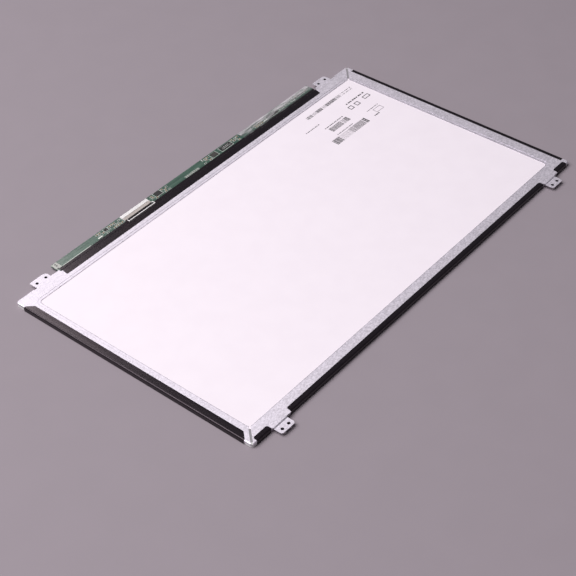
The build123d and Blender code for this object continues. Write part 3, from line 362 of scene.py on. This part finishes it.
# Plain finishes: two tones, grain in cycles per metre, and lowest and highest roughness
PLAIN_FINISHES = {
    "white_plastic": dict(dark=(0.80, 0.78, 0.79), light=(0.86, 0.84, 0.85), grain=900, rough=(0.5, 0.6)),
    "black_tape": dict(
        dark=(0.008, 0.006, 0.008), light=(0.011, 0.008, 0.011), grain=500, rough=(0.2, 0.28),
        height=SMOOTH_RELIEF, Specular_Tint=TAPE_GLOSS, Specular_IOR_Level=0.38,
    ),
    "reflector": dict(
        dark=(0.925, 0.83, 0.905), light=(0.94, 0.845, 0.92), grain=70, rough=(0.5, 0.55),
        height=SMOOTH_RELIEF,
    ),
    "screen": dict(dark=(0.010, 0.010, 0.012), light=(0.014, 0.014, 0.017), grain=3000, rough=(0.28, 0.36)),
    "cell_glass": dict(dark=(0.06, 0.075, 0.072), light=(0.08, 0.1, 0.095), grain=200, rough=(0.04, 0.08)),
    "chip": dict(dark=(0.016, 0.015, 0.016), light=(0.028, 0.026, 0.027), grain=2500, rough=(0.5, 0.62)),
    "tinned": dict(
        dark=(0.92, 0.89, 0.9), light=(0.97, 0.94, 0.95), grain=700, rough=(0.36, 0.46),
        height=SMOOTH_RELIEF, Metallic=0.6,
    ),
    "connector_plastic": dict(
        dark=(0.42, 0.365, 0.345), light=(0.5, 0.44, 0.42), grain=800, rough=(0.42, 0.52),
    ),
    "contact_metal": dict(
        dark=(0.66, 0.45, 0.17), light=(0.80, 0.58, 0.27), grain=1200, rough=(0.2, 0.32), Metallic=1.0,
    ),
    "ceramic": dict(dark=(0.33, 0.22, 0.12), light=(0.46, 0.33, 0.2), grain=1500, rough=(0.45, 0.6)),
    "ferrite": dict(dark=(0.03, 0.027, 0.026), light=(0.06, 0.054, 0.05), grain=1500, rough=(0.55, 0.7)),
    "white_ceramic": dict(dark=(0.74, 0.74, 0.7), light=(0.84, 0.84, 0.8), grain=1500, rough=(0.4, 0.5)),
    "grey_tape": dict(dark=(0.25, 0.23, 0.25), light=(0.32, 0.295, 0.32), grain=1500, rough=(0.55, 0.65)),
    "ink": dict(
        dark=(0.075, 0.068, 0.075), light=(0.11, 0.1, 0.11), grain=2500, rough=(0.6, 0.7),
        height=SMOOTH_RELIEF,
    ),
    "board_print": dict(
        dark=(0.52, 0.53, 0.5), light=(0.62, 0.63, 0.6), grain=2500, rough=(0.55, 0.65), height=SMOOTH_RELIEF,
    ),
    "solder": dict(
        dark=(0.42, 0.42, 0.4), light=(0.56, 0.56, 0.53), grain=900, rough=(0.4, 0.55),
        height=0.002 * MM, Metallic=0.5,
    ),
    # Near-black finish of the hole collars: painted shade seen through the screw holes
    "hole_shade": dict(
        dark=(0.03, 0.028, 0.03), light=(0.05, 0.046, 0.05), grain=2500, rough=(0.5, 0.6), Metallic=0.6,
    ),
    "lamp": dict(dark=(0.78, 0.7, 0.36), light=(0.88, 0.82, 0.55), grain=1500, rough=(0.4, 0.5)),
}
FINISHES = {
    "steel": steel_finish(),
    "board": board_finish(),
    "edge_tape": edge_tape_finish(),
    "flex_film": flex_finish(),
    "clear_film": film_finish(),
    "optical_film": clear_finish("optical_film", tone=(0.86, 0.88, 0.9), alpha=0.8, rough=(0.3, 0.4)),
    "acrylic": clear_finish("acrylic", tone=(0.86, 0.92, 0.93), alpha=0.6, rough=(0.1, 0.2)),
    **{name: plain_finish(name, **values) for name, values in PLAIN_FINISHES.items()},
}

# Every solid takes the finish that its record names, or its own variant of it
OWN_FINISHES = {
    "part_terminals": "solder", "test_pads": "solder", "ground_pads": "solder",
    "left_edge_tape": "edge_tape", "right_edge_tape": "edge_tape",
}
for subpart in frame["record"]["subparts"]:
    node = frame["nodes"][subpart["node"]]
    finish = OWN_FINISHES.get(subpart["node"], subpart["material_slot"])
    node.data.materials.clear()
    node.data.materials.append(FINISHES[finish])


def bar(x, y):
    """Outline of an upright rectangle between low and high values, in millimetres."""
    return [(x[0], y[0]), (x[1], y[0]), (x[1], y[1]), (x[0], y[1])]


def bars(x, y, count, least=0.3, most=0.7):
    """Outlines of a row of bars, each of them an uneven share of the row's pitch."""
    pitch = (x[1] - x[0]) / count
    outlines = []
    for i in range(count):
        share = least + (most - least) * ((3 * i + i * i) % 5) / 4
        start = x[0] + i * pitch
        outlines.append(bar((start, start + share * pitch), y))
    return outlines


def box_lines(x, y, width):
    """Outlines of the four sides of a box, drawn with lines of one width."""
    inner = (y[0] + width, y[1] - width)
    return [
        bar(x, (y[0], inner[0])), bar(x, (inner[1], y[1])),
        bar((x[0], x[0] + width), inner), bar((x[1] - width, x[1]), inner),
    ]


def wider(values, by):
    """Low and high values, moved apart."""
    return (values[0] - by, values[1] + by)


def framed(x, y, room, width):
    """Outlines of a box drawn round a part, with some room between them in X and in Y."""
    return box_lines(wider(x, room[0]), wider(y, room[1]), width)


def dot(x, y, radius, sides=16):
    """Outline of a round spot."""
    turns = [2 * pi * i / sides for i in range(sides)]
    return [(x + radius * cos(turn), y + radius * sin(turn)) for turn in turns]


def leads(x, y):
    """Outlines of the leads along both long sides of a chip."""
    count = round((x[1] - x[0]) / LEAD_PITCH)
    outlines = []
    for start in (y[0] + LEAD_TUCK - LEAD_LENGTH, y[1] - LEAD_TUCK):
        outlines += bars(x, (start, start + LEAD_LENGTH), count, LEAD_SHARE, LEAD_SHARE)
    return outlines


def solid_boxes(node):
    """Low and high values in X and in Y of each separate solid of a node, in millimetres."""
    shape = bmesh.new()
    shape.from_mesh(frame["nodes"][node].data)
    shape.transform(frame["nodes"][node].matrix_world)
    bmesh.ops.remove_doubles(shape, verts=shape.verts, dist=WELD)
    waiting = dict.fromkeys(shape.verts)
    boxes = []
    while waiting:
        solid = [waiting.popitem()[0]]
        for vert in solid:
            for edge in vert.link_edges:
                other = edge.other_vert(vert)
                if other in waiting:
                    del waiting[other]
                    solid.append(other)
        xs = [vert.co.x / MM for vert in solid]
        ys = [vert.co.y / MM for vert in solid]
        boxes.append(((min(xs), max(xs)), (min(ys), max(ys))))
    shape.free()
    return boxes


def add_piece(name, finish, shape):
    """Makes a piece of a shape, in one finish, which rides with the panel."""
    mesh = bpy.data.meshes.new(name)
    shape.to_mesh(mesh)
    shape.free()
    piece = bpy.data.objects.new(name, mesh)
    bpy.context.collection.objects.link(piece)
    mesh.materials.append(FINISHES[finish])
    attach(piece, "root")


def flat_piece(name, slot, outlines, base, height):
    """A thin piece made of flat outlines, which lies on a face, in the finish of its slot."""
    shape = bmesh.new()
    for outline in outlines:
        low = [shape.verts.new((x * MM, y * MM, base)) for x, y in outline]
        high = [shape.verts.new((x * MM, y * MM, base + height)) for x, y in outline]
        shape.faces.new(high)
        shape.faces.new(low[::-1])
        for i in range(len(outline)):
            shape.faces.new((low[i - 1], low[i], high[i], high[i - 1]))
    add_piece(name, slot, shape)


def add_collar(shape, x, y, top, inner):
    """Adds a short tube to a shape, with its upper rim at a level round a hole. Lengths are in metres."""
    outer = inner + COLLAR_WALL
    bottom = top - COLLAR_DEPTH
    turns = [2 * pi * i / COLLAR_SIDES for i in range(COLLAR_SIDES)]
    rings = []
    for radius, level in ((inner, top), (outer, top), (outer, bottom), (inner, bottom)):
        points = [(x + radius * cos(turn), y + radius * sin(turn), level) for turn in turns]
        rings.append([shape.verts.new(point) for point in points])
    for first, second in zip(rings, rings[1:] + rings[:1]):
        for i in range(COLLAR_SIDES):
            shape.faces.new((first[i - 1], first[i], second[i], second[i - 1]))


# Drawn collars under the screw holes, in a near-black finish that paints the shade seen through the holes
collars = bmesh.new()
for mount in frame["record"]["mounts"]:
    if mount["kind"] != "bolt_pattern":
        continue
    x, y, z = mount["pos_m"]
    hole_radius = mount["dims"]["hole_r_mm"] * MM
    for side in (-1, 1):
        hole_x = x + side * mount["dims"]["spacing_x_mm"] * MM / 2
        add_collar(collars, hole_x, y, z - TAB_HALF_THICK, hole_radius)
bmesh.ops.recalc_face_normals(collars, faces=collars.faces)
add_piece("hole_collars", "hole_shade", collars)

# Painted shade: a dark ink strip where the gap between the steel and the plastic frame lies in shadow, at the
# bare far corner of the left side
wall_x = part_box("mould_frame")[0][0] / MM
gap_shade_x = (wall_x - GAP_SHADE_PROUD, wall_x + GAP_SHADE_PROUD)
gap_shade_y = (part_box("left_edge_tape")[1][1] / MM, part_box("mould_frame")[1][1] / MM - GAP_SHADE_END)
steel_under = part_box("seam_strips")[0][2]
flat_piece("corner_gap_shade", "ink", [bar(gap_shade_x, gap_shade_y)], steel_under - GAP_SHADE_HEIGHT, GAP_SHADE_HEIGHT)

# Print on the white sheet: rows of bars, dashes and plain boxes, with no text and no marks
sheet_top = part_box("reflector_sheet")[1][2]
flat_piece("sheet_bars", "ink", [
    *bars((103.5, 110), TOP_ROW, count=5, least=0.4, most=0.7),
    *bars((110.4, 115), TOP_ROW, count=8, least=0.2, most=0.4),
    *bars((115, 122), TOP_ROW, count=8, least=0.6, most=0.8),
    *bars((122.6, 126.4), TOP_ROW, count=6, least=0.2, most=0.4),
    *bars((126.4, 139), TOP_ROW, count=14, least=0.55, most=0.85),
    *bars((139.4, 145), TOP_ROW, count=6, least=0.3, most=0.5),
    *bars((103, 106), MIDDLE_ROW, count=4, least=0.6, most=0.8),
    *bars((106.2, 116.6), MIDDLE_ROW, count=18, least=0.5, most=0.65),
    *bars((117.2, 120.2), MIDDLE_ROW, count=5, least=0.35, most=0.5),
    *bars((120.4, 124.4), MIDDLE_ROW, count=6, least=0.6, most=0.8),
    *bars((92.2, 100), NEAR_ROW, count=7, least=0.6, most=0.8),
    *bars((100, 112), NEAR_ROW, count=18, least=0.15, most=0.25),
    *bars((112, 117), NEAR_ROW, count=6, least=0.4, most=0.6),
    *bars((117, 128), NEAR_ROW, count=20, least=0.5, most=0.65),
    *bars((128.6, 131.6), NEAR_ROW, count=2, least=0.75, most=0.85),
], sheet_top, INK_HEIGHT)
flat_piece("sheet_dashes", "ink", [
    *bars((145.8, 159), (80.3, 81.1), count=8),
    *bars((145.8, 159), (82.4, 83.2), count=7),
    *bars((88, 104), (69.8, 70.6), 9, *DASH_SHARES),
    *bars((101.7, 123.5), (62.3, 63.2), 12, *DASH_SHARES),
    *bars((101.7, 121), (50.3, 51.1), 11, *DASH_SHARES),
    *bars((139.6, 153.6), (51.3, 52), count=9, least=0.5, most=0.8),
    *bars((139, 145), (43.0, 44.3), count=4, least=0.6, most=0.8),
    *box_lines((144, 152.6), (45, 49.6), THIN_LINE),
    *bars((137.2, 159.4), (69.4, 70.8), 9, *DASH_SHARES),
    *box_lines((134.4, 138.8), (62.5, 66.9), BOLD_LINE),
    *box_lines((141.8, 146.2), (62.3, 66.7), BOLD_LINE),
    *box_lines((152.6, 159.6), (63.2, 67), BOLD_LINE),
], sheet_top, INK_HEIGHT)

# Print, bare metal and painted shade on the circuit board
CHIPS = ("timing_controller", "power_chip", "memory_chip", "led_driver_chip")
SMALL_PARTS = ("chip_capacitors", "chip_resistors")
board_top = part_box("control_board")[1][2]
tape_edge_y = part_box("board_cover_tape")[1][1] / MM
chip_boxes = [box for node in CHIPS for box in solid_boxes(node)]
coil_boxes = solid_boxes("power_inductors")
small_boxes = [box for node in SMALL_PARTS for box in solid_boxes(node)]
flat_piece("part_outlines", "board_print", [
    line for x, y in small_boxes for line in framed(x, y, SMALL_ROOM, SMALL_LINE)
], board_top, MARK_HEIGHT)
flat_piece("chip_outlines", "board_print", [
    line for x, y in chip_boxes + coil_boxes for line in framed(x, y, CHIP_ROOM, CHIP_LINE)
], board_top, MARK_HEIGHT)
flat_piece("chip_leads", "tinned", [
    lead for x, y in chip_boxes for lead in leads(x, y)
], board_top, LEAD_HEIGHT)

test_low, test_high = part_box("test_pads")
test_x = (test_low[0] / MM, test_high[0] / MM)
test_y = (test_low[1] / MM, test_high[1] / MM)
flat_piece("board_lines", "board_print", [
    *framed(test_x, test_y, PADS_ROOM, PADS_LINE),
    bar(TAPE_LINE_X, tuple(tape_edge_y + off for off in TAPE_LINE_OFF)),
    dot(*ROUND_MARK, ROUND_MARK_RADIUS),
    *(dot(x, y, VIA_RADIUS) for x, y in VIAS),
    *bars(BOARD_ROW_X, BOARD_ROW_Y, count=15, least=0.25, most=0.45),
], board_top, MARK_HEIGHT)

# Painted shade: a dark strip on the board between the cover tape's edge and the connector housing, where the
# connector's mouth lies in shadow
housing_low, housing_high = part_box("connector_housing")
mouth_shade_x = (housing_low[0] / MM, housing_high[0] / MM)
mouth_shade_y = (tape_edge_y, housing_low[1] / MM)
flat_piece("mouth_shade", "chip", [bar(mouth_shade_x, mouth_shade_y)], board_top, MARK_HEIGHT)

pad_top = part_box("ground_pads")[1][2]
flat_piece("pad_holes", "ink", [
    dot(x, y, PAD_HOLE_RADIUS) for x, y in PAD_HOLES
], pad_top, INK_HEIGHT)

chip_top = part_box("timing_controller")[1][2]
chip_x, chip_y = solid_boxes("timing_controller")[0]
chip_dashes = []
for inset, start, count in CHIP_DASH_ROWS:
    dash_low = chip_y[0] + start
    dash_y = (dash_low, dash_low + CHIP_DASH_HEIGHT)
    chip_dashes += bars(wider(chip_x, -inset), dash_y, count, least=0.5, most=0.8)
flat_piece("chip_dashes", "board_print", chip_dashes, chip_top, INK_HEIGHT)

# Camera
back = Vector((
    sin(VIEW_AZIMUTH) * cos(VIEW_ELEVATION),
    -cos(VIEW_AZIMUTH) * cos(VIEW_ELEVATION),
    sin(VIEW_ELEVATION),
))
level_right = Vector((cos(VIEW_AZIMUTH), sin(VIEW_AZIMUTH), 0))
level_up = back.cross(level_right)
right = level_right * cos(VIEW_ROLL) + level_up * sin(VIEW_ROLL)
up = level_up * cos(VIEW_ROLL) - level_right * sin(VIEW_ROLL)
lens = bpy.data.cameras.new("camera")
lens.lens = LENS
lens.sensor_width = SENSOR_WIDTH
camera = bpy.data.objects.new("camera", lens)
bpy.context.collection.objects.link(camera)
camera_turn = Matrix((right, up, back)).transposed().to_4x4()
camera.matrix_world = Matrix.Translation(VIEW_TARGET + back * VIEW_DISTANCE) @ camera_turn
bpy.context.scene.camera = camera

# Floor
bpy.ops.mesh.primitive_plane_add(size=FLOOR_SIZE, location=(0, 0, -FLOOR_DROP))
floor = bpy.context.object
floor.name = "floor"
floor_finish = plain_finish(
    "floor", tuple(FLOOR_SHADE * value for value in FLOOR_COLOUR), FLOOR_COLOUR, FLOOR_GRAIN, FLOOR_ROUGH,
    height=0.0, Emission_Color=(*FLOOR_COLOUR, 1),
)
floor.data.materials.append(floor_finish)

# Far from the panel the lamps fade, so there the floor keeps its tone in what is seen or mirrored of it
floor_places = [place_along(floor_finish, axis) for axis in ("X", "Y")]
far = ranged(floor_finish, hypotenuse(floor_finish, *floor_places), FADE_START, FADE_END)
rays = floor_finish.node_tree.nodes.new("ShaderNodeLightPath").outputs
sight = joined(floor_finish, "MAXIMUM", rays["Is Camera Ray"], rays["Is Glossy Ray"])
sight = joined(floor_finish, "MAXIMUM", sight, rays["Is Transmission Ray"])
feed(floor_finish, joined(floor_finish, "MULTIPLY", far, sight), "Emission Strength")


def softbox(name, azimuth, elevation, distance, size, watts):
    """A square soft light that faces the middle of the panel."""
    light = bpy.data.lights.new(name, "AREA")
    light.size = size
    light.energy = watts
    lamp = bpy.data.objects.new(name, light)
    bpy.context.collection.objects.link(lamp)
    away = Vector((cos(azimuth) * cos(elevation), sin(azimuth) * cos(elevation), sin(elevation)))
    lamp.location = away * distance
    lamp.rotation_euler = away.to_track_quat("Z", "Y").to_euler()
    return lamp


# The small far light shows in gloss alone
far_softbox = softbox("far_softbox", **FAR_LIGHT)
far_softbox.data.color = FAR_LIGHT_COLOUR
far_softbox.visible_diffuse = False
softbox("top_softbox", **TOP_LIGHT)

world = bpy.data.worlds.new("studio")
world.use_nodes = True
world.node_tree.nodes["Background"].inputs["Color"].default_value = (*SKY_COLOUR, 1)
world.node_tree.nodes["Background"].inputs["Strength"].default_value = SKY_STRENGTH
bpy.context.scene.world = world
bpy.context.scene.view_settings.view_transform = "Standard"
